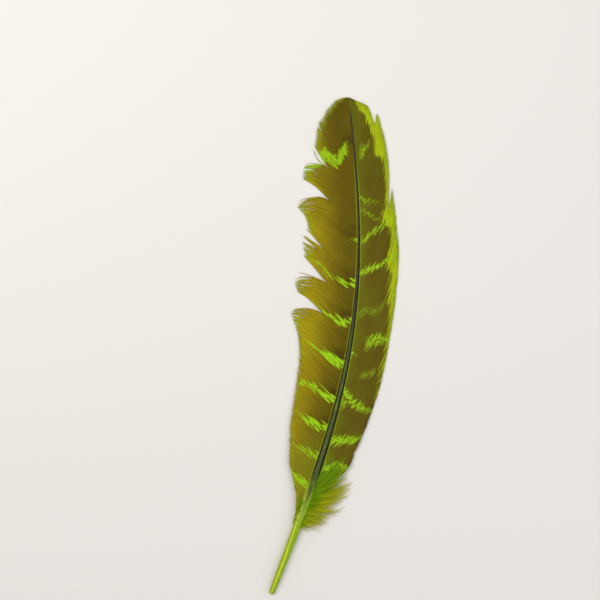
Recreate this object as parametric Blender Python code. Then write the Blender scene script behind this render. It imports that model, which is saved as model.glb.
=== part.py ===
"""A turkey's wing quill, shed and lying flat with its best face up.

One grown solid: the shaft, the two vanes split into locks, and the tufts of down where the vane begins.
The feather lies along +Y with its tip at +Y. Its narrow leading vane is on the +X side.
A place on the feather is given by a station t along the shaft (0 at the quill's end, 1 at the tip)
and by the distance out from the shaft. Metres throughout, angles in degrees.
"""

from math import cos, pi, radians, sin

import bmesh
import bpy
import numpy as np

# Shaft, whose lean from +Y follows a cosine from the quill's end to the tip
SHAFT_LENGTH = 0.290
QUILL_END = (-0.03603, -0.14138)
MEAN_LEAN = 7.4
LEAN_SWING = 13.85
LEAN_POWER = 1.205

# Each row: station, width
SHAFT_WIDTHS = (
    (0.000, 0.0024),
    (0.004, 0.0030),
    (0.030, 0.0038),
    (0.080, 0.0043),
    (0.180, 0.0050),
    (0.300, 0.0043),
    (0.500, 0.0029),
    (0.700, 0.0018),
    (0.900, 0.0011),
    (1.000, 0.0009),
)
HEIGHT_TO_WIDTH = 0.96
UNDERSIDE_CUT = 0.10
SHAFT_SIDES = 12
SHAFT_RINGS = 46
RING_CROWDING = 1.25

# Barbs of the wide trailing vane and the narrow leading vane, with the down at their base.
# Each row: station on the shaft, barb's length, its angle to the shaft where it starts and where it ends.
TRAILING_BARBS = (
    (0.145, 0.0032, 84, 76),
    (0.165, 0.0041, 78, 66),
    (0.190, 0.0077, 72, 55),
    (0.205, 0.0132, 70, 51),
    (0.220, 0.0197, 68, 48),
    (0.280, 0.0283, 66, 46),
    (0.340, 0.0314, 65, 44),
    (0.400, 0.0347, 63, 41),
    (0.460, 0.0412, 61, 37),
    (0.520, 0.0413, 60, 33),
    (0.740, 0.0419, 55, 27),
    (0.850, 0.0362, 45, 20),
    (0.900, 0.0281, 38, 16),
    (0.940, 0.0190, 32, 13),
    (0.985, 0.0060, 25, 8),
)
LEADING_BARBS = (
    (0.145, 0.007, 86, 72),
    (0.170, 0.019, 78, 62),
    (0.200, 0.030, 63, 46),
    (0.212, 0.025, 52, 30),
    (0.230, 0.031, 46, 22),
    (0.260, 0.0415, 40, 17),
    (0.300, 0.048, 39.5, 14),
    (0.400, 0.053, 37.5, 12),
    (0.520, 0.0575, 36.5, 11.5),
    (0.640, 0.052, 35.5, 11),
    (0.760, 0.049, 33, 11),
    (0.820, 0.0445, 30, 11),
    (0.880, 0.032, 27, 10),
    (0.940, 0.0165, 22, 8),
    (0.985, 0.005, 14, 5),
)

# Where the vanes have come apart.
# Each row: station, share of the barb where the split starts, how far the lock below it droops
# and the share of their length that the barbs just above it lack.
TRAILING_SPLITS = (
    (0.522, 0.50, 64, 0),
    (0.584, 0.50, 74, 0),
    (0.642, 0.60, 34, 0),
    (0.748, 0.50, 80, 0),
    (0.805, 0.60, 80, 0),
)
LEADING_SPLITS = (
    (0.211, 0.40, 8, 0),
    (0.314, 0.70, 0, 0),
    (0.660, 0.70, 0, 0.16),
    (0.828, 0.70, 0, 0.12),
)
DROOP_REACH = 0.06
SHORT_REACH = 0.03

# Locks, by station where they start and end, and by share of their barbs' length
FIRST_LOCK = 0.145
LAST_LOCK = 0.985
DOWN_TOP = 0.211
DOWN_TUFTS = 7
LOCKS_A_SIDE = 27
LOCK_WANDER = 0.005
LOCK_SPLIT_START = 0.70
LOCK_GATHER = 0.42
LOCK_NOTCH = 0.05
DOWN_SPLIT_START = 0.40
DOWN_GATHER = 0.62
DOWN_NOTCH = 0.30
ROWS = 10
STEPS_A_ROW = 4
SHARES = np.linspace(0, 1, ROWS + 1)
SAME_PLACE = 1e-6

# Vane sheet, crowned between the shaft and its edges
VANE_THICKNESS = 0.0007
EDGE_HEIGHT = 0.00042
ROOT_HEIGHT_SHARE = 0.56
CROWN_SHARE = 0.30
FALL_POWER = 1.7
TRAILING_WIDTH = 0.030
LEADING_WIDTH = 0.022
TIP_LIFT = 0.0012

SHAFT_COLOUR = (0.19, 0.20, 0.055, 1.0)
VANE_COLOUR = (0.20, 0.16, 0.022, 1.0)
ROUGHNESS = 0.6

TRAILING, LEADING = -1, 1


def shaft_line(samples=1201, beyond=1.06):
    """Stations along the shaft's middle, the places of those stations and how far the shaft leans there."""
    stations = np.linspace(0, beyond, samples)
    lean = np.radians(MEAN_LEAN + LEAN_SWING * np.cos(pi * np.minimum(stations, 1) ** LEAN_POWER))
    middle = (lean[1:] + lean[:-1]) / 2
    steps = np.diff(stations) * SHAFT_LENGTH
    x = QUILL_END[0] + np.concatenate([[0], np.cumsum(steps * np.sin(middle))])
    y = QUILL_END[1] + np.concatenate([[0], np.cumsum(steps * np.cos(middle))])
    return stations, x, y, lean


STATIONS, LINE_X, LINE_Y, LINE_LEAN = shaft_line()


def on_feather(station, out, height):
    """The point this far out from the shaft's middle, to the right where out is positive."""
    lean = np.interp(station, STATIONS, LINE_LEAN)
    x = np.interp(station, STATIONS, LINE_X) + out * cos(lean)
    y = np.interp(station, STATIONS, LINE_Y) - out * sin(lean)
    return x, y, height


def between(rows, station, column):
    return float(np.interp(station, [row[0] for row in rows], [row[column] for row in rows]))


def shaft_width(station):
    return between(SHAFT_WIDTHS, station, 1)


def shaft_height(station):
    return shaft_width(station) * HEIGHT_TO_WIDTH


def lock_bounds():
    """Stations where one lock ends and the next begins. The nearest one moves to each split."""
    down = np.linspace(FIRST_LOCK, DOWN_TOP, DOWN_TUFTS + 1)
    bounds = np.linspace(DOWN_TOP, LAST_LOCK, LOCKS_A_SIDE + 1)
    bounds[1:-1] += LOCK_WANDER * np.sin(2.4 * np.arange(1, LOCKS_A_SIDE))
    for split in TRAILING_SPLITS + LEADING_SPLITS:
        bounds[np.abs(bounds - split[0]).argmin()] = split[0]
    return np.concatenate([down, bounds[1:]])


def droop(splits, place, station, share):
    """How far a barb below a split has turned away from the tip at this share of its length.

    place runs from -1 at its lock's lower side to 1 at its upper side.
    """
    turned = 0.0
    for split, opens, angle, _ in splits:
        below = split - station
        if place < 1 and below <= 0 or below < 0:
            continue
        near = np.exp(-((below / DROOP_REACH) ** 2))
        turned += angle * near * max(0, share - opens) / (1 - opens)
    return turned


def kept_share(splits, place, station, share):
    """How much of each step a barb keeps: the barbs just above a split are shorter from where it starts."""
    kept = 1.0
    for split, opens, _, short in splits:
        above = station - split
        if share > opens and (above > 0 or above == 0 and place < 0):
            kept -= short / (1 - opens) * np.exp(-((above / SHORT_REACH) ** 2))
    return kept


def split_start(splits, station, side):
    """Share of the barbs' length where the locks on both sides of this station part."""
    for split, opens, _, _ in splits:
        if abs(split - station) < SAME_PLACE:
            return opens
    return DOWN_SPLIT_START if side == LEADING and station < DOWN_TOP else LOCK_SPLIT_START


def vane_height(station, out, side):
    width = TRAILING_WIDTH if side == TRAILING else LEADING_WIDTH
    across = min(1, abs(out) / width)
    root = shaft_height(min(1, station)) * ROOT_HEIGHT_SHARE
    crown = root * CROWN_SHARE * sin(pi * across)
    return EDGE_HEIGHT + max(0, root - EDGE_HEIGHT) * (1 - across**FALL_POWER) + crown


def barb_line(side, station, place):
    """Points on one barb from the shaft's middle to the barb's tip, each as (along, out) in metres."""
    rows = TRAILING_BARBS if side == TRAILING else LEADING_BARBS
    splits = TRAILING_SPLITS if side == TRAILING else LEADING_SPLITS
    is_down = side == LEADING and station < DOWN_TOP
    notch = DOWN_NOTCH if is_down else LOCK_NOTCH
    length = between(rows, station, 1) * (1 - notch * place**2)
    first = between(rows, station, 2)
    last = between(rows, station, 3)
    along = station * SHAFT_LENGTH
    out = 0.0
    places = [(along, out)]
    steps = STEPS_A_ROW * ROWS
    for step in range(steps):
        share = (step + 0.5) / steps
        angle = first + (last - first) * share + droop(splits, place, station, share)
        stride = length / steps * kept_share(splits, place, station, share)
        along += stride * cos(radians(angle))
        out += stride * sin(radians(angle))
        places.append((along, out))
    return np.array(places[::STEPS_A_ROW])


def vane_point(mesh, side, along, out, rise):
    station = along / SHAFT_LENGTH
    height = vane_height(station, out, side) + rise
    return mesh.verts.new(on_feather(station, side * out, height))


def add_lock(mesh, side, low, high):
    """One lock of barbs between two stations, as a sheet of quads."""
    splits = TRAILING_SPLITS if side == TRAILING else LEADING_SPLITS
    gather = DOWN_GATHER if side == LEADING and high <= DOWN_TOP else LOCK_GATHER
    middle = barb_line(side, (low + high) / 2, 0)
    lines = []
    for station, place in ((low, -1), ((low + high) / 2, 0), (high, 1)):
        start = split_start(splits, station, side)
        apart = np.clip((SHARES - start) / (1 - start), 0, 1) * abs(place)
        line = barb_line(side, station, place)
        line += (middle - line) * gather * apart[:, None]
        lift = TIP_LIFT * apart * max(0, place)
        lines.append([vane_point(mesh, side, *at, rise) for at, rise in zip(line, lift)])
    for line, following in zip(lines, lines[1:]):
        for row in range(ROWS):
            corners = [line[row], line[row + 1], following[row + 1], following[row]]
            mesh.faces.new(corners if side == LEADING else corners[::-1])


def make_vanes():
    """Both vanes and the down as one sheet through the shaft, split between the locks."""
    mesh = bmesh.new()
    bounds = lock_bounds()
    for low, high in zip(bounds, bounds[1:]):
        for side in (TRAILING, LEADING):
            add_lock(mesh, side, low, high)
    bmesh.ops.remove_doubles(mesh, verts=mesh.verts, dist=SAME_PLACE)
    bmesh.ops.recalc_face_normals(mesh, faces=mesh.faces)
    return finished("vanes", mesh, VANE_COLOUR)


def make_shaft():
    """The shaft as rings swept along its line, flat underneath where it rests."""
    mesh = bmesh.new()
    rings = []
    for k in range(SHAFT_RINGS):
        station = (k / (SHAFT_RINGS - 1)) ** RING_CROWDING
        width = shaft_width(station)
        height = shaft_height(station)
        ring = []
        for side in range(SHAFT_SIDES):
            angle = 2 * pi * side / SHAFT_SIDES
            level = max(0, (1 + sin(angle)) / 2 - UNDERSIDE_CUT) / (1 - UNDERSIDE_CUT)
            ring.append(mesh.verts.new(on_feather(station, width / 2 * cos(angle), height * level)))
        rings.append(ring)
    for ring, following in zip(rings, rings[1:]):
        for side in range(SHAFT_SIDES):
            after = (side + 1) % SHAFT_SIDES
            mesh.faces.new([ring[side], ring[after], following[after], following[side]])
    mesh.faces.new(rings[0])
    mesh.faces.new(rings[-1][::-1])
    bmesh.ops.recalc_face_normals(mesh, faces=mesh.faces)
    return finished("feather", mesh, SHAFT_COLOUR)


def finished(name, mesh, colour):
    data = bpy.data.meshes.new(name)
    mesh.to_mesh(data)
    mesh.free()
    obj = bpy.data.objects.new(name, data)
    bpy.context.scene.collection.objects.link(obj)
    material = bpy.data.materials.new(name)
    material.use_nodes = True
    shader = material.node_tree.nodes["Principled BSDF"]
    shader.inputs["Base Color"].default_value = colour
    shader.inputs["Roughness"].default_value = ROUGHNESS
    shader.inputs["Metallic"].default_value = 0.0
    data.materials.append(material)
    return obj


def main():
    for obj in list(bpy.data.objects):
        bpy.data.objects.remove(obj)
    vanes = make_vanes()
    thicken = vanes.modifiers.new("Thickness", "SOLIDIFY")
    thicken.thickness = VANE_THICKNESS
    thicken.offset = 0.0
    vanes.hide_render = True
    vanes.display_type = "WIRE"
    feather = make_shaft()
    join = feather.modifiers.new("Vanes grown on", "BOOLEAN")
    join.operation = "UNION"
    join.solver = "EXACT"
    join.object = vanes


main()
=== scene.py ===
"""Dresses the turkey quill feather: its shaft, the barbs of both vanes and the down at their base."""

from math import pi, radians

import bpy
import numpy as np
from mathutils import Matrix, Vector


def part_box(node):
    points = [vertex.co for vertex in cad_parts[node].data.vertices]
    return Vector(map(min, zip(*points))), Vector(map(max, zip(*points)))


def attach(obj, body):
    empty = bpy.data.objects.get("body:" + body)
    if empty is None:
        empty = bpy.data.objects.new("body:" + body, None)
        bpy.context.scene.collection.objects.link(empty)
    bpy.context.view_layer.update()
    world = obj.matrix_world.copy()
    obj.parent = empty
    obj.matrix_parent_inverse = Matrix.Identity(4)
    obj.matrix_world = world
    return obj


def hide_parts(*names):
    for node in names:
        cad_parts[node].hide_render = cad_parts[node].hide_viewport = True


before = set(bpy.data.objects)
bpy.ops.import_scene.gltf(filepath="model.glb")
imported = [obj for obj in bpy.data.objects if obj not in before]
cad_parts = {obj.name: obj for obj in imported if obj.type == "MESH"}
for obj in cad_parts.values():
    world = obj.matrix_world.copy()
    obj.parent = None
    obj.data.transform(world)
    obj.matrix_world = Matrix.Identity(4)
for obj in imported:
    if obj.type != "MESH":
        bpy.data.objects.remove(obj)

bl_info = {
    "name": "Turkey quill feather",
    "version": (1, 0, 0),
    "blender": (4, 5, 0),
    "location": "3D View > Sidebar > Feather",
    "description": "Makes a barred wing quill barb by barb",
    "category": "Add Mesh",
}

NODE = "feather"
BODY = "root"
LOW_CORNER, HIGH_CORNER = (np.array(corner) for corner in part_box(NODE))
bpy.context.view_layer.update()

TRAILING, LEADING = -1, 1
SIDE_NAMES = {TRAILING: "trailing_vane", LEADING: "leading_vane"}

# The shaft's line. Its lean from +Y follows a cosine from the quill's end to the tip. Metres and degrees.
SHAFT_LENGTH = 0.290
QUILL_END = (-0.03603, -0.14138)
MEAN_LEAN = 7.4
LEAN_SWING = 13.85
LEAN_POWER = 1.205
LINE_SAMPLES = 1201
BEYOND_TIP = 1.06

# Each row: station along the shaft, width
SHAFT_WIDTHS = (
    (0.000, 0.0024),
    (0.004, 0.0030),
    (0.030, 0.0038),
    (0.080, 0.0043),
    (0.180, 0.0050),
    (0.300, 0.0043),
    (0.500, 0.0029),
    (0.700, 0.0018),
    (0.900, 0.0011),
    (1.000, 0.0009),
)
HEIGHT_TO_WIDTH = 0.96
UNDERSIDE_CUT = 0.10

# Each row: station on the shaft, barb's length, its angle to the shaft where it starts and where it ends
TRAILING_BARBS = (
    (0.145, 0.0032, 84, 76),
    (0.165, 0.0041, 78, 66),
    (0.190, 0.0077, 72, 55),
    (0.205, 0.0132, 70, 51),
    (0.220, 0.0197, 68, 48),
    (0.280, 0.0283, 66, 46),
    (0.340, 0.0314, 65, 44),
    (0.400, 0.0347, 63, 41),
    (0.460, 0.0412, 61, 37),
    (0.520, 0.0413, 60, 33),
    (0.740, 0.0419, 55, 27),
    (0.850, 0.0362, 45, 20),
    (0.900, 0.0281, 38, 16),
    (0.940, 0.0190, 32, 13),
    (0.985, 0.0060, 25, 8),
    (0.998, 0.0024, 14, 3),
)
LEADING_BARBS = (
    (0.145, 0.007, 86, 72),
    (0.170, 0.019, 78, 62),
    (0.200, 0.030, 63, 46),
    (0.212, 0.025, 52, 30),
    (0.230, 0.031, 46, 22),
    (0.260, 0.0415, 40, 17),
    (0.300, 0.048, 39.5, 14),
    (0.400, 0.053, 37.5, 12),
    (0.520, 0.0575, 36.5, 11.5),
    (0.640, 0.052, 35.5, 11),
    (0.760, 0.049, 33, 11),
    (0.820, 0.0445, 30, 11),
    (0.880, 0.032, 27, 10),
    (0.940, 0.0165, 22, 8),
    (0.985, 0.005, 14, 5),
    (0.998, 0.0022, 9, 2),
)
BARBS = {TRAILING: np.array(TRAILING_BARBS), LEADING: np.array(LEADING_BARBS)}

# Each row: station, share of the barb where the split starts, how far the lock below it droops
# and the share of their length that the barbs just above it lack
SPLITS = {
    TRAILING: (
        (0.522, 0.50, 64, 0),
        (0.584, 0.50, 74, 0),
        (0.642, 0.60, 34, 0),
        (0.748, 0.50, 80, 0),
        (0.805, 0.60, 80, 0),
    ),
    LEADING: (
        (0.211, 0.40, 8, 0),
        (0.314, 0.70, 0, 0),
        (0.660, 0.70, 0, 0.16),
        (0.828, 0.70, 0, 0.12),
    ),
}
DROOP_REACH = 0.06
SHORT_REACH = 0.03

FIRST_LOCK = 0.145
LAST_LOCK = 0.985
LAST_BARB = 0.998
BOX_MARGIN = 0.0003
DOWN_TOP = 0.211
DOWN_TUFTS = 7
LOCKS_A_SIDE = 27
LOCK_WANDER = 0.005
LOCK_SPLIT_START = 0.70
SPLIT_GATHER = 0.42
DOWN_SPLIT_START = 0.40
DOWN_GATHER = 0.62
LOCK_GATHER = 0.08
CLUMP_SIZE = 9
SAME_PLACE = 1e-6

EDGE_HEIGHT = 0.00042
ROOT_HEIGHT_SHARE = 0.56
CROWN_SHARE = 0.30
FALL_POWER = 1.7
VANE_WIDTHS = {TRAILING: 0.030, LEADING: 0.022}

# Where the bright bars cross each vane.
# Each bar: half its thickness along the shaft, its strength, where it starts and ends in mm from the shaft,
# then points (distance from the shaft in mm, station)
BAR_REACH = 0.040
TRAILING_BARS = (
    (0.0060, 0.95, 0, 16, ((0, 0.224), (3, 0.227), (6, 0.232), (10, 0.235), (14, 0.242), (20, 0.249))),
    (0.0045, 0.80, 0, 15, ((0, 0.282), (3, 0.285), (6, 0.287), (10, 0.291), (14, 0.292), (20, 0.297))),
    (0.0062, 1.00, 0, 19, ((0, 0.345), (3, 0.344), (6, 0.344), (10, 0.347), (14, 0.350), (20, 0.359))),
    (0.0050, 1.00, 0, 27, ((0, 0.406), (3, 0.404), (6, 0.405), (10, 0.410), (14, 0.418), (20, 0.421))),
    (0.0085, 1.00, 0, 20, ((0, 0.480), (3, 0.477), (6, 0.479), (10, 0.483), (14, 0.488), (20, 0.497))),
    (0.0055, 1.00, 0, 20, ((0, 0.563), (3, 0.560), (6, 0.557), (10, 0.561), (14, 0.566), (20, 0.576))),
    (0.0050, 0.95, 0, 13, ((0, 0.638), (3, 0.636), (6, 0.634), (10, 0.638), (14, 0.643), (20, 0.660))),
    (0.0024, 0.75, 11, 31, ((0, 0.636), (10, 0.638), (14, 0.644), (20, 0.660), (27, 0.690), (33, 0.716))),
    (0.0030, 0.85, 0, 3.5, ((0, 0.719), (3, 0.721))),
    (
        *(0.0130, 0.80, 4, 34),
        ((0, 0.905), (5, 0.902), (11, 0.880), (16, 0.894), (21, 0.886), (29, 0.868), (36, 0.858)),
    ),
)
LEADING_BARS = (
    (0.0085, 0.90, 3, 17, ((0, 0.265), (5, 0.270), (8, 0.276), (12, 0.281), (20, 0.285))),
    (0.0075, 0.90, 0, 19, ((0, 0.322), (5, 0.328), (8, 0.331), (14, 0.337), (20, 0.346))),
    (0.0065, 0.90, 0, 19, ((0, 0.430), (3, 0.421), (5, 0.416), (8, 0.407), (11, 0.403), (20, 0.398))),
    (0.0090, 0.60, 0, 5, ((0, 0.403), (3, 0.400), (6, 0.398))),
    (0.0030, 0.80, 0, 4, ((0, 0.500), (3, 0.496), (6, 0.492))),
    (0.0055, 0.32, 9, 22, ((0, 0.450), (12, 0.464), (17, 0.474), (20, 0.486))),
    (0.0110, 0.72, 9, 22, ((0, 0.518), (9, 0.520), (13, 0.531), (18, 0.536), (22, 0.537))),
    (0.0050, 0.30, 2, 20, ((0, 0.562), (5, 0.582), (13, 0.590), (19, 0.617))),
    (0.0042, 0.95, 0, 22, ((0, 0.654), (4, 0.660), (8, 0.668), (14, 0.678), (18, 0.686), (22, 0.697))),
    (0.0045, 0.70, 1, 20, ((0, 0.712), (3, 0.722), (8, 0.738), (12, 0.744), (17, 0.757), (20, 0.762))),
    (0.0026, 0.55, 0, 13, ((0, 0.782), (2, 0.780), (5, 0.774), (9, 0.765), (13, 0.758))),
    (0.0026, 0.60, 0, 11, ((0, 0.806), (2, 0.802), (6, 0.797), (9, 0.796), (13, 0.788))),
    (0.0100, 0.60, 3, 8, ((0, 0.880), (5, 0.895), (8, 0.905))),
)
# Pairs of a station and the width of the leading vane's bright margin there, in mm
MARGIN_WIDTHS = (
    (0.440, 0.6), (0.480, 1.4), (0.560, 1.7), (0.595, 2.3), (0.612, 4.2), (0.632, 4.2),
    (0.650, 3.6), (0.670, 5.8), (0.690, 6.2), (0.714, 4.2), (0.740, 4.2), (0.754, 7.4),
    (0.768, 7.6), (0.782, 4.9), (0.797, 4.1), (0.815, 3.8), (0.834, 3.2), (0.865, 2.6),
    (0.880, 4.4), (0.900, 6.6), (0.930, 6.0), (0.960, 6.6), (0.985, 5.6), (1.000, 4.6),
)
BARS = {TRAILING: TRAILING_BARS, LEADING: LEADING_BARS}


def count_choice(name, description, default, least):
    return bpy.props.IntProperty(name=name, description=description, default=default, min=least)


def length_choice(name, description, default):
    return bpy.props.FloatProperty(
        name=name, description=description, default=default, unit="LENGTH", precision=5
    )


class FeatherSizes(bpy.types.PropertyGroup):
    """Sizes of the barbs and the down"""

    barbs_a_side: count_choice("Barbs a side", "Barbs in each vane", 720, 50)
    barb_points: count_choice("Points a barb", "Points along each barb's line", 15, 6)
    barb_overlap: bpy.props.FloatProperty(
        name="Barb overlap",
        description="Width of a barb, as a share of the space to the next one",
        default=1.8,
    )
    barb_height: length_choice("Barb height", "Height of a barb from its keel to its ridge", 0.00034)
    fray: bpy.props.FloatProperty(
        name="Fray",
        description="How far loose barb ends turn from their neighbours",
        default=radians(5),
        subtype="ANGLE",
    )
    down_barbs: count_choice("Down barbs", "Soft barbs at the base of the vanes", 280, 10)
    barbule_spacing: length_choice("Barbule spacing", "Distance between a soft barb's barbules", 0.00017)
    barbule_length: length_choice("Barbule length", "Length of a soft barb's longest barbules", 0.0024)
    barbule_thickness: length_choice("Barbule thickness", "Thickness where a barbule starts", 0.00008)
    seed: count_choice("Seed", "Seed of everything that varies from barb to barb", 7, 1)


def tint(name, description, default):
    return bpy.props.FloatVectorProperty(
        name=name, description=description, default=default, subtype="COLOR", min=0, max=1
    )


class FeatherColours(bpy.types.PropertyGroup):
    """Colours of the dyed feather and the floor, with painted highlights on the quill and shaft and partly
    painted shade on the shaft's flanks
    """

    bar: tint("Bars", "The bright bars across the vanes", (0.33, 0.60, 0.010))
    margin: tint("Margin", "The bright edge of the leading vane", (0.40, 0.50, 0.006))
    brown: tint("Brown", "The darkest of the vanes", (0.118, 0.088, 0.003))
    moss: tint("Moss", "The leading vane beside the shaft", (0.13, 0.13, 0.004))
    olive: tint("Olive", "The trailing vane beside the shaft", (0.130, 0.094, 0.003))
    gold: tint("Gold", "The trailing vane's outer part", (0.38, 0.30, 0.006))
    deep: tint("Deep brown", "Clouds in the trailing vane's shade", (0.068, 0.047, 0.003))
    low: tint("Low olive", "The trailing vane near the quill", (0.245, 0.245, 0.010))
    # Partly the shaft's own dark side walls, partly painted shade along the sides of the raised shaft.
    shaft_dark: tint("Dark shaft", "The shaft's flanks and tip", (0.008, 0.007, 0.003))
    shaft_middle: tint("Shaft's back", "The shaft's back", (0.060, 0.082, 0.012))
    # Painted highlight: this bright lime shows only as the band down the quill's middle.
    quill: tint("Quill", "The bare quill's back", (0.57, 0.70, 0.042))
    quill_green: tint("Quill's green", "The bare quill's leading side", (0.24, 0.38, 0.006))
    quill_olive: tint("Quill's olive", "The bare quill's trailing side", (0.31, 0.38, 0.003))
    quill_dark: tint("Quill's dark mottle", "Dark spots of the bare quill", (0.085, 0.19, 0.004))
    quill_pale: tint("Quill's pale mottle", "Pale spots of the bare quill", (0.60, 0.66, 0.12))
    quill_end: tint("Quill's end", "The rim of the quill's end", (0.030, 0.050, 0.004))
    quill_fibre: tint("Quill's fibres", "Pale fibres above the quill", (0.42, 0.54, 0.14))
    shaft_grain: tint("Shaft's grain", "Dark grain of the shaft's back", (0.012, 0.012, 0.008))
    shaft_upper: tint("Upper shaft", "The back of the shaft near the tip", (0.016, 0.016, 0.010))
    shaft_speck: tint("Shaft's specks", "Pale specks on the shaft", (0.24, 0.30, 0.14))
    # Painted highlight: the pale line down the left of the upper shaft.
    shaft_glint: tint("Shaft's glint", "The light line along the shaft", (0.075, 0.078, 0.070))
    down_inner: tint("Inner down", "The down beside the shaft", (0.18, 0.33, 0.004))
    down_outer: tint("Outer down", "The down's tips", (0.46, 0.46, 0.008))
    floor: tint("Floor", "The floor", (0.74, 0.72, 0.69))
    floor_grain: tint("Floor's grain", "The fine grain of the floor", (0.70, 0.68, 0.65))


# The lines that the shaft and the barbs follow


def shaft_line():
    """Stations along the shaft's middle, the places of those stations and how far the shaft leans there."""
    stations = np.linspace(0, BEYOND_TIP, LINE_SAMPLES)
    lean = np.radians(MEAN_LEAN + LEAN_SWING * np.cos(pi * np.minimum(stations, 1) ** LEAN_POWER))
    middle = (lean[1:] + lean[:-1]) / 2
    steps = np.diff(stations) * SHAFT_LENGTH
    x = QUILL_END[0] + np.concatenate([[0], np.cumsum(steps * np.sin(middle))])
    y = QUILL_END[1] + np.concatenate([[0], np.cumsum(steps * np.cos(middle))])
    return stations, x, y, lean


STATIONS, LINE_X, LINE_Y, LINE_LEAN = shaft_line()


def on_feather(along, out, height):
    """Points at these distances along the shaft and out from its middle, as rows of x, y and z."""
    station = along / SHAFT_LENGTH
    lean = np.interp(station, STATIONS, LINE_LEAN)
    x = np.interp(station, STATIONS, LINE_X) + out * np.cos(lean)
    y = np.interp(station, STATIONS, LINE_Y) - out * np.sin(lean)
    return np.stack([x, y, height + 0 * x], axis=-1)


def shaft_width(station):
    widths = np.array(SHAFT_WIDTHS)
    return np.interp(station, widths[:, 0], widths[:, 1])


def vane_height(along, out, side):
    across = np.minimum(1, np.abs(out) / VANE_WIDTHS[side])
    station = np.minimum(1, along / SHAFT_LENGTH)
    root = shaft_width(station) * HEIGHT_TO_WIDTH * ROOT_HEIGHT_SHARE
    crown = root * CROWN_SHARE * np.sin(pi * across)
    return EDGE_HEIGHT + np.maximum(0, root - EDGE_HEIGHT) * (1 - across**FALL_POWER) + crown


def lock_bounds():
    """Stations where one lock ends and the next begins. The nearest one moves to each split."""
    down = np.linspace(FIRST_LOCK, DOWN_TOP, DOWN_TUFTS + 1)
    bounds = np.linspace(DOWN_TOP, LAST_LOCK, LOCKS_A_SIDE + 1)
    bounds[1:-1] += LOCK_WANDER * np.sin(2.4 * np.arange(1, LOCKS_A_SIDE))
    for split in SPLITS[TRAILING] + SPLITS[LEADING]:
        bounds[np.abs(bounds - split[0]).argmin()] = split[0]
    return np.concatenate([down, bounds[1:]])


def eased(values, low, high):
    """0 below low and 1 above high, with a smooth rise between them."""
    share = np.clip((values - low) / (high - low), 0, 1)
    return share * share * (3 - 2 * share)


def below_split(split, stations, reach):
    """1 just below the split, falling to 0 further down, and 0 above it."""
    below = split - stations
    return np.where(below > 0, np.exp(-((below / reach) ** 2)), 0)


def barb_lines(side, stations, share, turned=0.0, stretch=1.0, whole=False):
    """(along, out) of points on barbs, one row for each station and one column for each share of the length.

    Whole barbs have the same length on both sides of a split.
    """
    rows = BARBS[side]
    length, first, last = (np.interp(stations, rows[:, 0], rows[:, k])[:, None] for k in (1, 2, 3))
    angle = first + (last - first) * share + turned
    kept = 1.0
    for split, opens, droop, short in SPLITS[side]:
        below = split - stations[:, None]
        near = below_split(split, stations[:, None], DROOP_REACH)
        angle = angle + droop * near * np.clip((share - opens) / (1 - opens), 0, 1)
        if not whole:
            lacks = np.where(below <= 0, np.exp(-((below / SHORT_REACH) ** 2)), 0) * (share[1:] > opens)
            kept = kept * (1 - short / (1 - opens) * lacks)
    angle = np.radians((angle[:, 1:] + angle[:, :-1]) / 2)
    steps = np.diff(share) * length * stretch * kept
    zero = np.zeros((len(stations), 1))
    along = stations[:, None] * SHAFT_LENGTH + np.hstack([zero, np.cumsum(steps * np.cos(angle), axis=1)])
    out = np.hstack([zero, np.cumsum(steps * np.sin(angle), axis=1)])
    return along, out


def split_starts(side, bounds):
    """Share of the barbs' length where neighbouring locks part, at each bound."""
    in_down = (side == LEADING) & (bounds < DOWN_TOP - SAME_PLACE)
    starts = np.where(in_down, DOWN_SPLIT_START, LOCK_SPLIT_START)
    for split, opens, _, _ in SPLITS[side]:
        starts = np.where(np.abs(bounds - split) < SAME_PLACE, opens, starts)
    return starts


def gathered(side, stations, share, along, out, rng):
    """Draws the barbs of each lock together beyond the place where its neighbours part from it."""
    bounds = lock_bounds()
    starts = split_starts(side, bounds)
    lock = np.clip(np.searchsorted(bounds, stations, side="right") - 1, 0, len(bounds) - 2)
    low, high = bounds[lock], bounds[lock + 1]
    place = (stations - (low + high) / 2) / (high - low) * 2
    start = np.where(place > 0, starts[lock + 1], starts[lock])[:, None]
    main = start != LOCK_SPLIT_START
    pull = np.where(main, SPLIT_GATHER, rng.uniform(0.0, LOCK_GATHER, len(bounds))[lock][:, None])
    pull = np.where((side == LEADING) & (stations < DOWN_TOP)[:, None], DOWN_GATHER, pull)
    apart = np.clip((share - start) / (1 - start), 0, 1) * np.abs(place)[:, None] * pull
    middle_along, middle_out = barb_lines(side, (low + high) / 2, share)
    return along + (middle_along - along) * apart, out + (middle_out - out) * apart


def clumped(share, along, out, rng, loose):
    """Draws small clumps of barbs together at their ends, as the vane's edge does where it frays."""
    count = len(along)
    sizes = rng.integers(CLUMP_SIZE // 2, CLUMP_SIZE * 2, count)
    first = np.concatenate([[0], np.cumsum(sizes)])
    first = first[first < count - 1]
    counts = np.diff(np.concatenate([first, [count]]))
    strength = np.repeat(rng.uniform(0.1, 1.0, len(first)), counts)[:, None]
    loose = loose[:, None]
    apart = eased(share, 0.84 - 0.18 * loose, 1.0) * strength * (0.25 + 0.65 * loose)
    moved = []
    for values in (along, out):
        middle = np.repeat(np.add.reduceat(values, first) / counts[:, None], counts, axis=0)
        moved.append(values + (middle - values) * apart)
    return moved


def side_directions(points):
    """Unit vectors level with the floor and square to each line at its points."""
    run = np.gradient(points, axis=1)
    square = np.stack([run[..., 1], -run[..., 0], 0 * run[..., 0]], axis=-1)
    return square / np.maximum(np.linalg.norm(square, axis=-1, keepdims=True), 1e-12)


def inside_box(points):
    """Keeps points a little inside the solid's box."""
    return np.clip(points, LOW_CORNER + BOX_MARGIN, HIGH_CORNER - BOX_MARGIN)


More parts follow.
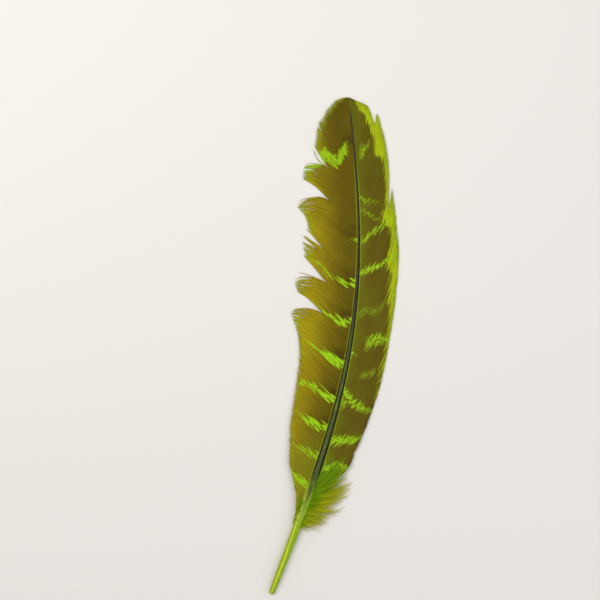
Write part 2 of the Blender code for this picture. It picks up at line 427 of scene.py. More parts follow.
def beyond_shaft(along, out):
    """How far out from the shaft's flank each place is."""
    return out - shaft_width(along / SHAFT_LENGTH) / 2


def from_edge(along, out):
    """How far in from the line through the barbs' tips each place is."""
    order = np.argsort(along[:, -1])
    return np.interp(along, along[order, -1], out[order, -1]) - out


# How barbs differ from each other and from the even lines of their vane
STREAKS_A_VANE = 470
SPACING_VARIES = 0.12
LENGTH_VARIES = {TRAILING: 0.010, LEADING: 0.006}
FRAY_SHARE = {TRAILING: 1.0, LEADING: 0.5}
ENDS_FROM = 0.82
RISE_VARIES = 0.00003
HIGHEST_RISE = 0.0006

# Below a split whose lock droops further than this, in degrees, the barbs are loose and thinned out
LOOSE_DROOP = 10
LOOSE_REACH = 0.016
THIN_REACH = 0.034
THINNED = 0.58
CURLS_FROM = 0.62
MEAN_CURL, CURL_VARIES = 0.05, 0.24

# A barb's section. Widths and heights are halves, in metres.
OVERLAP_SHARE = {TRAILING: 1.0, LEADING: 1.4}
TAPERS_FROM = {TRAILING: 0.93, LEADING: 0.975}
TAPERED = 0.80
LEAST_WIDTH, MOST_WIDTH = 0.00007, 0.00038
LEAST_HEIGHT = 0.00003


def vane_guides(side, sizes):
    """The middle lines of one vane's barbs, with the width and height that each has along its length."""
    rng = np.random.default_rng(sizes.seed + side)
    count = sizes.barbs_a_side
    share = np.linspace(0, 1, sizes.barb_points) ** 0.8
    first = FIRST_LOCK if side == TRAILING else DOWN_TOP + 0.001
    stations = np.linspace(first, LAST_BARB, count)
    stations = stations + rng.normal(0, SPACING_VARIES, count) * (stations[1] - stations[0])
    ends = eased(share, ENDS_FROM, 1.0)
    loose = np.zeros(count)
    sparse = np.zeros(count)
    turned = rng.normal(0, np.degrees(sizes.fray * FRAY_SHARE[side]), count)[:, None] * ends
    for split, _, droop, _ in SPLITS[side]:
        near = below_split(split, stations, LOOSE_REACH)
        if droop > LOOSE_DROOP:
            loose = np.maximum(loose, near)
            sparse = np.maximum(sparse, below_split(split, stations, THIN_REACH))
        curl = droop * rng.normal(MEAN_CURL, CURL_VARIES, count) * near
        turned = turned + curl[:, None] * eased(share, CURLS_FROM, 1.0)
    stretch = (1 + rng.normal(0, LENGTH_VARIES[side], count))[:, None]
    along, out = barb_lines(side, stations, share, turned, stretch)
    even_along, even_out = barb_lines(side, stations, share, whole=True)
    along, out = gathered(side, stations, share, along, out, rng)
    along, out = clumped(share, along, out, rng, loose)
    rise = rng.normal(0, RISE_VARIES, count)[:, None]
    rise = rise + HIGHEST_RISE * ends * rng.uniform(0, 1, count)[:, None] ** 3
    height = vane_height(along, out, side) + rise
    points = on_feather(along, side * out, height)
    even = on_feather(even_along, side * even_out, 0)
    apart = np.gradient(even, axis=0) * side_directions(even)
    spacing = np.minimum(np.linalg.norm(apart, axis=-1), np.abs(np.sum(apart, axis=-1)))
    taper = 1 - TAPERED * eased(share, TAPERS_FROM[side], 1.0)
    taper = taper * (1 - THINNED * sparse[:, None] * eased(share, CURLS_FROM, 0.95))
    overlap = sizes.barb_overlap * OVERLAP_SHARE[side]
    half_width = np.clip(spacing * overlap / 2, LEAST_WIDTH, MOST_WIDTH) * taper
    half_height = np.minimum(sizes.barb_height / 2, half_width * 1.2) * (1 - 0.3 * share)
    return {
        "centre": inside_box(points),
        "half_width": half_width,
        "half_height": np.maximum(half_height, LEAST_HEIGHT),
        "share": share + 0 * along,
        "along": along / SHAFT_LENGTH,
        "out": out,
        "bare": beyond_shaft(along, out),
        "edge": from_edge(even_along, even_out),
        "barb": np.arange(count)[:, None] * STREAKS_A_VANE / count + 0 * along,
        "chance": rng.uniform(0, 1, count)[:, None] + 0 * along,
    }


# Where soft barbs grow. Each row: side, lowest and highest station, what divides their number there
DOWN_PATCHES = (
    (LEADING, FIRST_LOCK, DOWN_TOP + 0.020, 1),
    (TRAILING, FIRST_LOCK - 0.004, 0.190, 6),
)
DOWN_POINTS = 15
DOWN_STRETCH = 0.95
DOWN_DROOP = 24
DOWN_LIFT = 20
DOWN_RISE = 0.0016
DOWN_WIDTH, DOWN_HEIGHT = 0.00013, 0.00010
LOWEST_DOWN = 0.00006


def down_guides(sizes):
    """The middle lines of the soft barbs: tufts on the leading side and a few on the trailing side."""
    rng = np.random.default_rng(sizes.seed + 11)
    share = np.linspace(0, 1, DOWN_POINTS)
    parts = []
    for side, low, high, divided in DOWN_PATCHES:
        count = sizes.down_barbs // divided
        stations = low + (high - low) * np.sort(rng.uniform(0, 1, count)) ** 0.8
        swing = rng.normal(0, 12, count)[:, None]
        turned = swing * np.sin(share * pi * rng.uniform(0.6, 1.6, count)[:, None])
        turned = turned + rng.normal(0, 10, count)[:, None] * share
        turned = turned + DOWN_DROOP * eased(stations, 0.20, 0.15)[:, None] * share
        turned = turned - DOWN_LIFT * eased(stations, 0.170, 0.200)[:, None] * share**2
        stretch = DOWN_STRETCH * rng.uniform(0.12, 1.0, count)[:, None] ** 0.55
        along, out = barb_lines(side, stations, share, turned, stretch)
        if side == LEADING:
            pulled_along, pulled_out = gathered(side, stations, share, along, out, rng)
            pull = rng.uniform(0, 0.55, count)[:, None]
            along = along + (pulled_along - along) * pull
            out = out + (pulled_out - out) * pull
        rise = rng.uniform(-0.2, 1.0, count)[:, None] * DOWN_RISE * np.sin(pi * np.minimum(1, share * 1.1))
        points = on_feather(along, side * out, vane_height(along, out, side) + rise)
        chance = rng.uniform(0, 1, count)[:, None] + 0 * along
        parts.append((points, share + 0 * along, along / SHAFT_LENGTH, out, chance))
    points, shares, along, out, chance = (np.concatenate(values) for values in zip(*parts))
    taper = 1 - 0.75 * shares
    return {
        "centre": inside_box(points),
        "half_width": DOWN_WIDTH * taper,
        "half_height": DOWN_HEIGHT * taper,
        "share": shares,
        "along": along,
        "out": out,
        "chance": chance,
    }


# The quill's rounded end and the narrowing of the shaft's tip, by station
ROUNDED_END = 0.006
TIP_FROM = 0.95
TIP_NARROWED = 0.45


def shaft_guide():
    """The shaft's middle line on the floor, with its width and height along its length."""
    near_end = ROUNDED_END * (1 - np.cos(np.linspace(0, pi / 2, 9)))
    rest = np.linspace(ROUNDED_END, 0.999, 190)[1:]
    stations = np.concatenate([near_end, rest])
    place = np.clip(stations / ROUNDED_END, 0.02, 1)
    rounding = np.sqrt(place * (2 - place))
    width = shaft_width(np.maximum(stations, 0.004)) * np.where(stations < ROUNDED_END, rounding, 1)
    tip = 1 - TIP_NARROWED * eased(stations, TIP_FROM, 1.0)
    return {
        "centre": on_feather(stations * SHAFT_LENGTH, 0, 0)[None],
        "half_width": (width / 2 * tip * 0.995)[None],
        "half_height": (width * HEIGHT_TO_WIDTH * tip * 0.985)[None],
        "along": stations[None],
    }


def guide_mesh(name, guides):
    """A mesh of edges along the guides, which carries their sizes as attributes on its points."""
    centre = guides["centre"]
    rows, columns = centre.shape[:2]
    index = np.arange(rows * columns).reshape(rows, columns)
    edges = np.stack([index[:, :-1].ravel(), index[:, 1:].ravel()], axis=-1)
    mesh = bpy.data.meshes.new(name)
    mesh.from_pydata(centre.reshape(-1, 3).tolist(), edges.tolist(), [])
    vectors = {"centre": centre, "square": side_directions(centre)}
    for key, values in vectors.items():
        layer = mesh.attributes.new(key, "FLOAT_VECTOR", "POINT")
        layer.data.foreach_set("vector", values.reshape(-1).astype(np.float32))
    for key, values in guides.items():
        if key != "centre":
            layer = mesh.attributes.new(key, "FLOAT", "POINT")
            layer.data.foreach_set("value", values.reshape(-1).astype(np.float32))
    return mesh


# Node trees as Python sums


def maths(operation, swapped=False):
    """A method of Flow that adds this Math node. A swapped one has the flow itself last."""

    def added(self, *others):
        node = self.tree.nodes.new("ShaderNodeMath")
        node.operation = operation
        values = (*others, self) if swapped else (self, *others)
        for place, value in enumerate(values):
            feed(self.tree, node.inputs[place], value)
        return Flow(self.tree, node.outputs[0])

    return added


class Flow:
    """A node's output that takes part in sums. Each sum adds the nodes that work it out."""

    def __init__(self, tree, socket):
        self.tree = tree
        self.socket = socket

    __add__ = maths("ADD")
    __radd__ = maths("ADD", swapped=True)
    __sub__ = maths("SUBTRACT")
    __rsub__ = maths("SUBTRACT", swapped=True)
    __mul__ = maths("MULTIPLY")
    __rmul__ = maths("MULTIPLY", swapped=True)
    __truediv__ = maths("DIVIDE")
    __rtruediv__ = maths("DIVIDE", swapped=True)
    __mod__ = maths("MODULO")
    __rmod__ = maths("MODULO", swapped=True)
    __abs__ = maths("ABSOLUTE")
    sine = maths("SINE")
    cosine = maths("COSINE")
    at_least = maths("MAXIMUM")
    at_most = maths("MINIMUM")


def feed(tree, socket, value):
    """Links a flow to the socket, or sets the socket's own value."""
    if isinstance(value, Flow):
        tree.links.new(value.socket, socket)
    elif hasattr(value, "__len__") and not isinstance(value, str):
        socket.default_value = (*value, 1.0)[: len(socket.default_value)]
    else:
        socket.default_value = value


class Tree:
    """Adds nodes to a tree, with their settings first and then the values or links of their sockets."""

    def __init__(self, tree):
        self.tree = tree

    def node(self, kind, settings=None, sockets=None):
        node = self.tree.nodes.new(kind)
        for key, value in (settings or {}).items():
            setattr(node, key, value)
        for key, value in (sockets or {}).items():
            feed(self.tree, node.inputs[key], value)
        return node

    def out(self, kind, settings=None, sockets=None, output=0):
        return Flow(self.tree, self.node(kind, settings, sockets).outputs[output])

    def joined(self, x, y, z):
        return self.out("ShaderNodeCombineXYZ", None, {"X": x, "Y": y, "Z": z})


class Shades(Tree):
    """A material whose shader is fed by sums of flows."""

    def __init__(self, name, **constants):
        self.material = bpy.data.materials.new(name)
        self.material.use_nodes = True
        super().__init__(self.material.node_tree)
        self.shader = self.tree.nodes["Principled BSDF"]
        for key, value in constants.items():
            self.shader.inputs[key.replace("_", " ")].default_value = value

    def attributes(self, *names):
        return [self.out("ShaderNodeAttribute", {"attribute_name": name}, output=2) for name in names]

    def noise(self, scale, detail, **sockets):
        """Noise over the piece's own space, unless the sockets give another place."""
        if not sockets:
            sockets["Vector"] = self.out("ShaderNodeTexCoord", output=3)
        settings = {"noise_dimensions": "1D" if "W" in sockets else "3D"}
        return self.out("ShaderNodeTexNoise", settings, {"Scale": scale, "Detail": detail, **sockets})

    def grain(self, detail, x, y, z):
        """Noise that follows the barbs or the shaft, at a place made of three values."""
        return self.noise(1.0, detail, Vector=self.joined(x, y, z))

    def spread(self, value, low, high, to_low=0.0, to_high=1.0):
        """The value's place between low and high, eased at both ends."""
        sockets = {"Value": value, "From Min": low, "From Max": high, "To Min": to_low, "To Max": to_high}
        return self.out("ShaderNodeMapRange", {"interpolation_type": "SMOOTHSTEP"}, sockets)

    def mix(self, first, second, share, blend="MIX"):
        node = self.node("ShaderNodeMix", {"data_type": "RGBA", "blend_type": blend}, {"Factor": share})
        feed(self.tree, node.inputs[6], first)
        feed(self.tree, node.inputs[7], second)
        return Flow(self.tree, node.outputs[2])

    def layered(self, base, *layers):
        """The base with each colour laid over it by its share, in order."""
        for colour, share in layers:
            base = self.mix(base, colour, share)
        return base

    def toned(self, colour, tone):
        return self.mix(colour, self.joined(tone, tone, tone), 1.0, "MULTIPLY")

    def curve(self, value, points):
        """The height, at this value, of a smooth curve through the points."""
        node = self.node("ShaderNodeFloatCurve", None, {"Value": value})
        line = node.mapping.curves[0]
        for k, (x, y) in enumerate(points):
            if k < 2:
                line.points[k].location = (x, y)
            else:
                line.points.new(x, y)
        node.mapping.update()
        return Flow(self.tree, node.outputs[0])

    def finish(self, colour, roughness, height=None, bump=0.2, distance=0.0001):
        feed(self.tree, self.shader.inputs["Base Color"], colour)
        feed(self.tree, self.shader.inputs["Roughness"], roughness)
        if height is not None:
            sockets = {"Height": height, "Strength": bump, "Distance": distance}
            feed(self.tree, self.shader.inputs["Normal"], self.out("ShaderNodeBump", None, sockets))
        return self.material


def jagged(shades, barb, scale, reach):
    """A shift along the shaft of up to this reach, which differs from barb to barb."""
    return shades.spread(shades.noise(scale, 1.5, W=barb), 0.36, 0.64, -reach, reach)


def bar_masks(shades, side, along, out, shift):
    """Where the bright bars are, and where the vane is darker on their side towards the tip."""
    reach = out / BAR_REACH
    bars = None
    dark = None
    for half, strength, start, end, points in BARS[side]:
        line = shades.curve(reach, [(x / 1000 / BAR_REACH, y) for x, y in points])
        away = along + shift - line
        thin = shades.spread(out, end / 1000, end / 1000 * 0.55, half * 0.45, half)
        mask = shades.spread(abs(away) - thin, 0.0012, -0.0012) * strength
        if start:
            mask = mask * shades.spread(out, (start - 1.5) / 1000, (start + 1.5) / 1000)
        fades = end * 0.35
        mask = mask * shades.spread(out + shift * 0.3, (end + fades) / 1000, (end - fades * 0.4) / 1000)
        shadow = shades.spread(away, 0.055, 0.012) * shades.spread(away, -0.004, 0.008)
        bars = mask if bars is None else bars.at_least(mask)
        dark = shadow if dark is None else dark.at_least(shadow)
    return bars, dark


def vane_material(side, colours):
    """Barbs dyed from brown by the shaft to gold or a bright margin, with ragged bars across them."""
    shades = Shades(f"{SIDE_NAMES[side]}_barbs", Specular_IOR_Level=0.08)
    spread = shades.spread
    share, along, out, bare = shades.attributes("share", "along", "out", "bare")
    edge, barb, chance, across = shades.attributes("edge", "barb", "chance", "across")
    streak = shades.grain(3.0, barb * 0.35, share * 3.0, side * 5.0)
    fleck = shades.grain(1.0, barb * 0.8, share * 8.0, side * 3.0)
    cloud = shades.noise(60.0, 3.0)
    shift = jagged(shades, barb, 0.45, 0.0030) + jagged(shades, barb, 0.16, 0.0034) + (streak - 0.5) * 0.010
    shift = shift + (chance - 0.5) * 0.0030
    bars, dark = bar_masks(shades, side, along, out, shift)
    speck = shades.noise(760.0, 2.0)
    blotch = spread(cloud, 0.36, 0.60)
    if side == TRAILING:
        bars = bars * spread(fleck, 0.36, 0.43, 0.10, 1.0)
        worn = out + (cloud - 0.5) * 0.012 + (0.5 - along) * 0.012 + (streak - 0.5) * 0.008
        shadow = dark * spread(out, 0.020, 0.003) * (blotch * 0.6 + 0.4)
        deep = spread(dark * spread(out, 0.017, 0.004) + (cloud - 0.5) * 0.9, 0.55, 1.05)
        low = spread(along, 0.360, 0.280) * spread(out, 0.020, 0.008)
        base = shades.layered(
            colours.olive,
            (colours.gold, spread(worn, 0.002, 0.030)),
            (colours.brown, shadow * 0.85),
            (colours.deep, deep * 0.7),
            (colours.low, low * 0.75),
        )
        margin = spread(edge + shift * 0.3, 0.0032, 0.0004)
        margin = margin * spread(along, 0.40, 0.60, 0.35, 0.60)
        ends = spread(share + (streak - 0.5) * 0.12, 0.80, 0.97) * spread(along, 0.47, 0.57)
        margin = margin.at_least(ends * 0.62)
    else:
        bars = bars * spread(speck, 0.40, 0.54, 0.35, 1.0)
        brown = spread(out + (cloud - 0.5) * 0.010, 0.001, 0.009)
        wash = spread(along, 0.33, 0.22) * spread(out + (cloud - 0.5) * 0.016, 0.012, 0.002)
        base = shades.layered(
            colours.moss,
            (colours.brown, brown * (blotch * 0.45 + 0.55)),
            (colours.down_inner, wash * 0.75),
        )
        wide = shades.curve(along, [(at, width / 10) for at, width in MARGIN_WIDTHS]) * 0.010
        margin = spread(edge - wide + shift * 0.25 + (cloud - 0.5) * 0.003, 0.0007, -0.0005)
        margin = margin * spread(speck, 0.28, 0.34, 0.25, 1.0) * spread(out, 0.003, 0.0045)
    tone = 0.78 + streak * 0.24 + (chance - 0.5) * 0.12 + (fleck - 0.5) * 0.16
    # Painted shade and highlight: each barb is darker on its sides, where it meets its neighbours, and
    # lighter along its ridge.
    tone = tone * spread(abs(across), 1.0, 0.3, 0.82, 1.08)
    root = spread(bare, 0.0007, 0.0002) * spread(along, 0.92, 0.80) * 0.40
    colour = shades.layered(
        shades.toned(base, tone),
        (colours.margin, margin * (0.75 + streak * 0.35).at_most(1.0)),
        (colours.bar, bars),
        (colours.margin, root),
    )
    rough = 0.56 + (streak - 0.5) * 0.25
    ribs = (share * 900.0 + across * 2.5).sine() * 0.5 + streak
    return shades.finish(colour, rough, ribs, 0.25, 0.00004)


def shaft_material(colours):
    """A horny shaft: streaked bright quill with a painted highlight down its middle, then a grey-green back
    between dark flanks that are partly painted shade, dark to the tip with a painted highlight line along it.
    """
    shades = Shades("shaft_horn", Specular_IOR_Level=0.13, Coat_Roughness=0.25)
    spread = shades.spread
    along, across, level = shades.attributes("along", "across", "level")
    fibre = shades.grain(3.0, across * 3.2, along * 7.0, level * 2.0)
    fine = shades.grain(3.0, across * 11.0, along * 22.0, level * 6.0)
    cloud = shades.grain(2.0, across, along * 40.0, 0.0)
    slant = (along - 0.08).at_least(0.0) * 5.0 + 0.14
    wander = across + slant + (fibre - 0.5) * 0.30 + (fine - 0.5) * 0.30
    mottle = shades.grain(2.0, across * 4.0, along * 120.0, level * 4.0)
    pale = spread(fibre, 0.50, 0.62) * spread(along, 0.13, 0.17)
    pale = pale * spread(along, 0.27, 0.22)
    # Painted highlight: the bright quill colour is left only in a narrow band just left of the middle,
    # between the green and olive sides laid over it.
    quill = shades.layered(
        colours.quill,
        (colours.quill_green, spread(wander, 0.04, 0.24)),
        (colours.quill_olive, spread(wander, -0.04, -0.26)),
        (colours.quill_green, spread(fine, 0.54, 0.66) * 0.5),
        (colours.quill_dark, spread(mottle, 0.54, 0.70) * 0.32),
        (colours.quill_pale, spread(mottle, 0.44, 0.32) * 0.28),
        (colours.quill_olive, spread(abs(across), 0.80, 1.0) * 0.7),
        (colours.quill_end, spread(along, 0.003, 0.0) * 0.6),
        (colours.quill_fibre, pale * 0.6),
    )
    # flank darkens both sides of the upper shaft: partly its own dark side walls, partly painted shade.
    flank = spread(abs(across + 0.12) + (fine - 0.5) * 0.10, 0.40, 0.52)
    speck = shades.grain(1.0, across * 5.0, along * 170.0, level * 5.0)
    # glint places the painted highlight along the left of the upper shaft.
    glint = spread(abs(across + 0.35), 0.16, 0.04) * spread(along, 0.46, 0.60)
    upper = shades.layered(
        colours.shaft_middle,
        (colours.down_inner, spread(cloud, 0.48, 0.75) * 0.45),
        (colours.shaft_grain, spread(fine, 0.50, 0.36) * 0.55),
        (colours.shaft_upper, spread(along, 0.44, 0.62)),
        (colours.shaft_dark, flank),
        (colours.shaft_speck, spread(speck, 0.66, 0.74) * 0.5),
        (colours.shaft_glint, glint * spread(fine, 0.40, 0.55, 0.5, 1.0)),
    )
    turns = along + (fibre - 0.5) * 0.05 - flank * 0.03
    colour = shades.mix(quill, upper, spread(turns, 0.145, 0.235))
    rough = 0.36 + fibre * 0.22
    height = fibre * 0.6 + fine * 0.4
    shades.shader.inputs["Coat Weight"].default_value = 0.06
    return shades.finish(colour, rough, height, 0.5, 0.00020)


def down_material(colours):
    """Soft barbs, green beside the shaft and yellow at their tips."""
    shades = Shades("soft_down", Specular_IOR_Level=0.08)
    out, chance, along = shades.attributes("out", "chance", "along")
    cloud = shades.noise(160.0, 3.0)
    worn = out + (chance - 0.5) * 0.004 + (cloud - 0.5) * 0.012 + (0.19 - along) * 0.12
    tip = shades.spread(worn, 0.001, 0.012)
    tone = 0.85 + chance * 0.2 + cloud * 0.25
    strand = shades.spread(chance, 0.90, 0.96) * 0.7
    layers = ((colours.down_outer, tip), (colours.moss, strand))
    colour = shades.toned(shades.layered(colours.down_inner, *layers), tone)
    return shades.finish(colour, 0.65 + (cloud - 0.5) * 0.2)


# Geometry node trees


class Builder(Tree):
    """A geometry node tree with named inputs."""

    def __init__(self, name, *inputs):
        """Each input is a name, a kind and, where it has one, a default. They follow the geometry."""
        super().__init__(bpy.data.node_groups.new(name, "GeometryNodeTree"))
        names = []
        for title, kind, *default in (("Geometry", "Geometry"), *inputs):
            socket = self.tree.interface.new_socket(title, in_out="INPUT", socket_type=f"NodeSocket{kind}")
            if default:
                socket.default_value = default[0]
            names.append(title)
        self.tree.interface.new_socket("Geometry", in_out="OUTPUT", socket_type="NodeSocketGeometry")
        group = self.tree.nodes.new("NodeGroupInput")
        self.inputs = [Flow(self.tree, group.outputs[title]) for title in names]

    def read(self, name, vector=False):
        settings = {"data_type": "FLOAT_VECTOR" if vector else "FLOAT"}
        return self.out("GeometryNodeInputNamedAttribute", settings, {"Name": name})

    def stored(self, geometry, name, value):
        settings = {"data_type": "FLOAT", "domain": "POINT"}
        sockets = {"Geometry": geometry, "Name": name, "Value": value}
        return self.out("GeometryNodeStoreNamedAttribute", settings, sockets)

    def vector(self, operation, *values):
        node = self.node("ShaderNodeVectorMath", {"operation": operation})
        for value, socket in zip(values, (s for s in node.inputs if s.enabled)):
            feed(self.tree, socket, value)
        return Flow(self.tree, node.outputs[0])

    def ring(self, sides):
        """A ring with the angle of each of its points stored on it."""
        circle = self.out("GeometryNodeCurvePrimitiveCircle", None, {"Resolution": sides, "Radius": 0.0001})
        turn = self.out("GeometryNodeInputIndex") / sides * (2 * pi)
        return self.stored(circle, "turn", turn)

    def tube(self, guides, sides):
        curve = self.out("GeometryNodeMeshToCurve", None, {"Mesh": guides})
        sockets = {"Curve": curve, "Profile Curve": self.ring(sides), "Fill Caps": True}
        return self.out("GeometryNodeCurveToMesh", None, sockets)

    def shaped(self, geometry, sideways, upwards):
        """Moves each point to its place in the barb's own section."""
        square = self.vector("SCALE", self.read("square", True), sideways)
        place = self.vector("ADD", self.read("centre", True), square)
        place = self.vector("ADD", place, self.joined(0.0, 0.0, upwards))
        return self.out("GeometryNodeSetPosition", None, {"Geometry": geometry, "Position": place})

    def barbs(self, guides, sides, width=1.0, height=1.0):
        """Sweeps a ridged section along each barb's line."""
        turn = self.read("turn")
        tube = self.stored(self.tube(guides, sides), "across", turn.cosine())
        sideways = turn.cosine() * self.read("half_width") * width
        return self.shaped(tube, sideways, turn.sine() * self.read("half_height") * height)

    def closed(self, geometry, material):
        """Ends the tree with its instances realized and its material set."""
        whole = self.out("GeometryNodeRealizeInstances", None, {"Geometry": geometry})
        whole = self.out("GeometryNodeSetMaterial", None, {"Geometry": whole, "Material": material})
        end = self.tree.nodes.new("NodeGroupOutput")
        feed(self.tree, end.inputs["Geometry"], whole)
        return self.tree


def barb_tree():
    build = Builder(
        "Barbs along their lines",
        ("Sides", "Int", 4),
        ("Width", "Float", 1.0),
        ("Height", "Float", 1.0),
        ("Material", "Material"),
    )
    guides, sides, width, height, material = build.inputs
    return build.closed(build.barbs(guides, sides, width, height), material)


def shaft_tree():
    """Sweeps the shaft's section, flat underneath with a groove along it."""
    build = Builder(
        "Shaft along its line",
        ("Sides", "Int", 48),
        ("Underside cut", "Float", UNDERSIDE_CUT),
        ("Groove depth", "Float", 0.16),
        ("Groove width", "Float", 0.30),
        ("Material", "Material"),
    )
    guides, sides, cut, depth, wide, material = build.inputs
    tube = build.tube(guides, sides)
    turn = build.read("turn")
    across = turn.cosine()
    level = ((turn.sine() * 0.5 + 0.5 - cut) / (1 - cut)).at_least(0.0)
    below = ((across / wide) * (across / wide) * -1 + 1).at_least(0.0)
    under = (turn.sine() * -4.0).at_least(0.0).at_most(1.0)
    grows = ((build.read("along") - 0.12) * 12.0).at_least(0.0).at_most(1.0)
    level = level + below * under * depth * grows
    named = build.stored(build.stored(tube, "across", across), "level", level)
    shape = build.shaped(named, across * build.read("half_width"), level * build.read("half_height"))
    return build.closed(shape, material)


def down_tree():
    """Sweeps the soft barbs and sets thin barbules along both sides of each."""
    build = Builder(
        "Down along its lines",
        ("Sides", "Int", 4),
        ("Barbule spacing", "Float", 0.00017),
        ("Barbule length", "Float", 0.0024),
        ("Barbule thickness", "Float", 0.00008),
        ("Seed", "Int", 0),
        ("Material", "Material"),
    )
    guides, sides, spacing, length, thick, seed, material = build.inputs
    curve = build.out("GeometryNodeMeshToCurve", None, {"Mesh": guides})
    spots = build.out("GeometryNodeResampleCurve", {"mode": "LENGTH"}, {"Curve": curve, "Length": spacing})
    cone = build.out(
        "GeometryNodeMeshCone",
        {"fill_type": "NGON"},
        {"Vertices": 3, "Side Segments": 1, "Radius Top": 0.0, "Radius Bottom": 1.0, "Depth": 1.0},
    )
    index = build.out("GeometryNodeInputIndex")
    hand = index % 2.0 * 2 - 1

    def random(low, high, salt):
        sockets = {"Min": low, "Max": high, "Seed": seed + salt}
        return build.out("FunctionNodeRandomValue", {"data_type": "FLOAT"}, sockets, output=1)

    run = build.out("GeometryNodeInputTangent")
    sideways = build.vector("SCALE", build.read("square", True), hand * random(0.5, 1.5, 1))
    lean = build.vector("ADD", run, sideways)
    lean = build.vector("ADD", lean, build.joined(0.0, 0.0, random(-0.35, 0.5, 2)))
    turned = build.out("FunctionNodeAlignRotationToVector", {"axis": "Z"}, {"Vector": lean})
    size = length * random(0.35, 1.0, 3) * (1.45 - build.read("share") * 1.35).at_least(0.12).at_most(1.1)
    scale = build.joined(thick, thick, size)
    sockets = {"Points": spots, "Instance": cone, "Rotation": turned, "Scale": scale}
    tufts = build.out("GeometryNodeInstanceOnPoints", None, sockets)
    both = build.node("GeometryNodeJoinGeometry")
    for part in (build.barbs(guides, sides), tufts):
        build.tree.links.new(part.socket, both.inputs[0])
    whole = build.out("GeometryNodeRealizeInstances", None, {"Geometry": Flow(build.tree, both.outputs[0])})
    spot = build.out("GeometryNodeInputPosition")
    lifted = build.vector("MAXIMUM", spot, (-1.0, -1.0, LOWEST_DOWN))
    lifted = build.vector("MINIMUM", lifted, (1.0, 1.0, HIGH_CORNER[2] - 0.0001))
    whole = build.out("GeometryNodeSetPosition", None, {"Geometry": whole, "Position": lifted})
    return build.closed(whole, material)


def grown(name, guides, tree, slot, **inputs):
    """Runs the tree on the guides and keeps the result as one plain mesh that rides on the feather's body."""
    piece = bpy.data.objects.new(name, guide_mesh(name, guides))
    bpy.context.scene.collection.objects.link(piece)
    modifier = piece.modifiers.new("Growth", "NODES")
    modifier.node_group = tree
    for item in tree.interface.items_tree:
        if item.in_out == "INPUT" and item.name in inputs:
            modifier[item.identifier] = inputs[item.name]
    graph = bpy.context.evaluated_depsgraph_get()
    whole = piece.evaluated_get(graph)
    mesh = bpy.data.meshes.new_from_object(whole, preserve_all_data_layers=True, depsgraph=graph)
    piece.modifiers.remove(modifier)
    piece.data = mesh
    mesh.name = name
    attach(piece, BODY)
    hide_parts(NODE)
    return piece


# Operators


class FEATHER_OT_shaft(bpy.types.Operator):
    """Make the shaft, from the quill's end to the tip"""

    bl_idname = "feather.shaft"
    bl_label = "Shaft"

    def execute(self, context):
        colours = context.scene.feather_colours
        piece = grown("shaft", shaft_guide(), shaft_tree(), "shaft", Material=shaft_material(colours))
        piece.data.shade_smooth()
        return {"FINISHED"}


class FEATHER_OT_vane(bpy.types.Operator):
    """Make the barbs of one vane"""

    bl_idname = "feather.vane"
    bl_label = "Vane"

    side: bpy.props.IntProperty(
        name="Side", description="-1 for the trailing vane and 1 for the leading vane", default=LEADING
    )

    def execute(self, context):
        scene = context.scene
        guides = vane_guides(self.side, scene.feather_sizes)
        material = vane_material(self.side, scene.feather_colours)
        grown(SIDE_NAMES[self.side], guides, barb_tree(), "vane", Material=material)
        return {"FINISHED"}


class FEATHER_OT_down(bpy.types.Operator):
    """Make the down at the base of the vanes"""

    bl_idname = "feather.down"
    bl_label = "Down"

    def execute(self, context):
        scene = context.scene
        sizes = scene.feather_sizes
        inputs = {
            "Barbule spacing": sizes.barbule_spacing,
            "Barbule thickness": sizes.barbule_thickness,
            "Barbule length": sizes.barbule_length,
            "Seed": sizes.seed,
            "Material": down_material(scene.feather_colours),
        }
        grown("down", down_guides(sizes), down_tree(), "down", **inputs)
        return {"FINISHED"}


# The stage

CAMERA_LENS = 100.0
SENSOR_WIDTH = 36.0
METRES_A_PIXEL = 0.00057
IMAGE_WIDTH = 600
QUILL_PIXEL = (271.0, 594.0)
FLOOR_REACH = 2.5
SKY_COLOUR = (1.0, 0.98, 0.96, 1.0)
SKY_STRENGTH = 0.55
# Each row: name, place in metres, turn in degrees, size in metres, power and colour
LIGHTS = (
    ("key", (-0.55, 0.35, 0.9), (28, -32, 0), (0.7, 0.7), 8.6, (1.0, 0.98, 0.95)),
    ("fill", (0.7, -0.2, 0.8), (-10, 42, 0), (0.9, 0.9), 4.0, (0.95, 0.97, 1.0)),
)


def soft_light(name, place, turn, size, power, colour):
    light = bpy.data.lights.new(name, "AREA")
    light.shape = "RECTANGLE"
    light.size, light.size_y = size
    light.energy = power
    light.color = colour
    obj = bpy.data.objects.new(name, light)
    obj.location = place
    obj.rotation_euler = [radians(angle) for angle in turn]
    bpy.context.scene.collection.objects.link(obj)


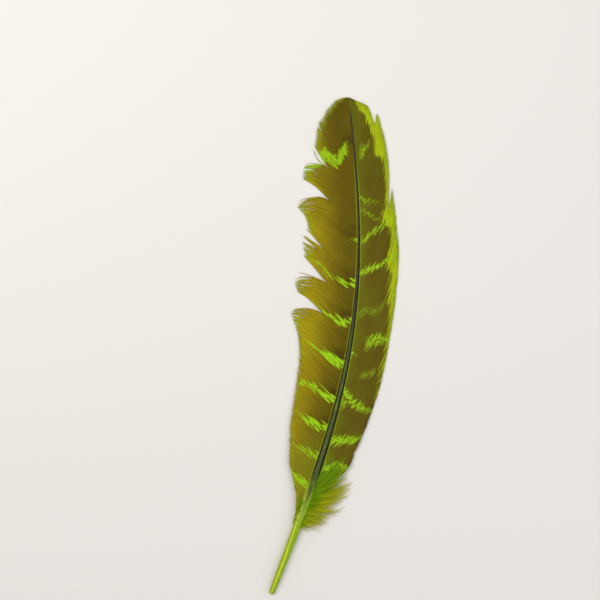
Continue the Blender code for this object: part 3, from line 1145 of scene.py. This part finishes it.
class FEATHER_OT_stage(bpy.types.Operator):
    """Make the floor, the lights and the camera that looks straight down"""

    bl_idname = "feather.stage"
    bl_label = "Stage"

    def execute(self, context):
        scene = context.scene
        mesh = bpy.data.meshes.new("floor")
        corners = [(x * FLOOR_REACH, y * FLOOR_REACH, 0) for x, y in ((-1, -1), (1, -1), (1, 1), (-1, 1))]
        mesh.from_pydata(corners, [], [(0, 1, 2, 3)])
        floor = bpy.data.objects.new("floor", mesh)
        scene.collection.objects.link(floor)
        shades = Shades("pale_floor")
        grain = shades.noise(900.0, 2.0)
        colours = scene.feather_colours
        colour = shades.mix(colours.floor, colours.floor_grain, grain * 0.3)
        mesh.materials.append(shades.finish(colour, 0.9, grain, 0.05, 0.0002))
        for light in LIGHTS:
            soft_light(*light)
        world = bpy.data.worlds.new("soft_sky")
        world.use_nodes = True
        sky = world.node_tree.nodes["Background"]
        sky.inputs["Color"].default_value = SKY_COLOUR
        sky.inputs["Strength"].default_value = SKY_STRENGTH
        scene.world = world
        scene.view_settings.view_transform = "Standard"
        camera = bpy.data.cameras.new("camera")
        camera.lens = CAMERA_LENS
        camera.sensor_width = SENSOR_WIDTH
        eye = bpy.data.objects.new("camera", camera)
        middle = [IMAGE_WIDTH / 2 - QUILL_PIXEL[0], QUILL_PIXEL[1] - IMAGE_WIDTH / 2]
        x, y = (start + METRES_A_PIXEL * step for start, step in zip(QUILL_END, middle))
        eye.location = (x, y, IMAGE_WIDTH * METRES_A_PIXEL * CAMERA_LENS / SENSOR_WIDTH)
        scene.collection.objects.link(eye)
        scene.camera = eye
        return {"FINISHED"}


class FEATHER_PT_panel(bpy.types.Panel):
    """Lists the feather's pieces"""

    bl_idname = "FEATHER_PT_panel"
    bl_label = "Feather"
    bl_space_type = "VIEW_3D"
    bl_region_type = "UI"
    bl_category = "Feather"

    def draw(self, context):
        layout = self.layout
        for group in (context.scene.feather_sizes, context.scene.feather_colours):
            for name in type(group).__annotations__:
                layout.prop(group, name)
        layout.operator("feather.shaft")
        layout.operator("feather.vane", text="Trailing vane").side = TRAILING
        layout.operator("feather.vane", text="Leading vane").side = LEADING
        layout.operator("feather.down")
        layout.operator("feather.stage")


CLASSES = (
    FeatherSizes,
    FeatherColours,
    FEATHER_OT_shaft,
    FEATHER_OT_vane,
    FEATHER_OT_down,
    FEATHER_OT_stage,
    FEATHER_PT_panel,
)


def register():
    for part in CLASSES:
        bpy.utils.register_class(part)
    bpy.types.Scene.feather_sizes = bpy.props.PointerProperty(type=FeatherSizes)
    bpy.types.Scene.feather_colours = bpy.props.PointerProperty(type=FeatherColours)


def unregister():
    del bpy.types.Scene.feather_colours
    del bpy.types.Scene.feather_sizes
    for part in reversed(CLASSES):
        bpy.utils.unregister_class(part)


def main():
    register()
    bpy.ops.feather.stage()
    bpy.ops.feather.shaft()
    for side in (TRAILING, LEADING):
        bpy.ops.feather.vane(side=side)
    bpy.ops.feather.down()
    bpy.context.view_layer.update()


if __name__ == "__main__":
    main()
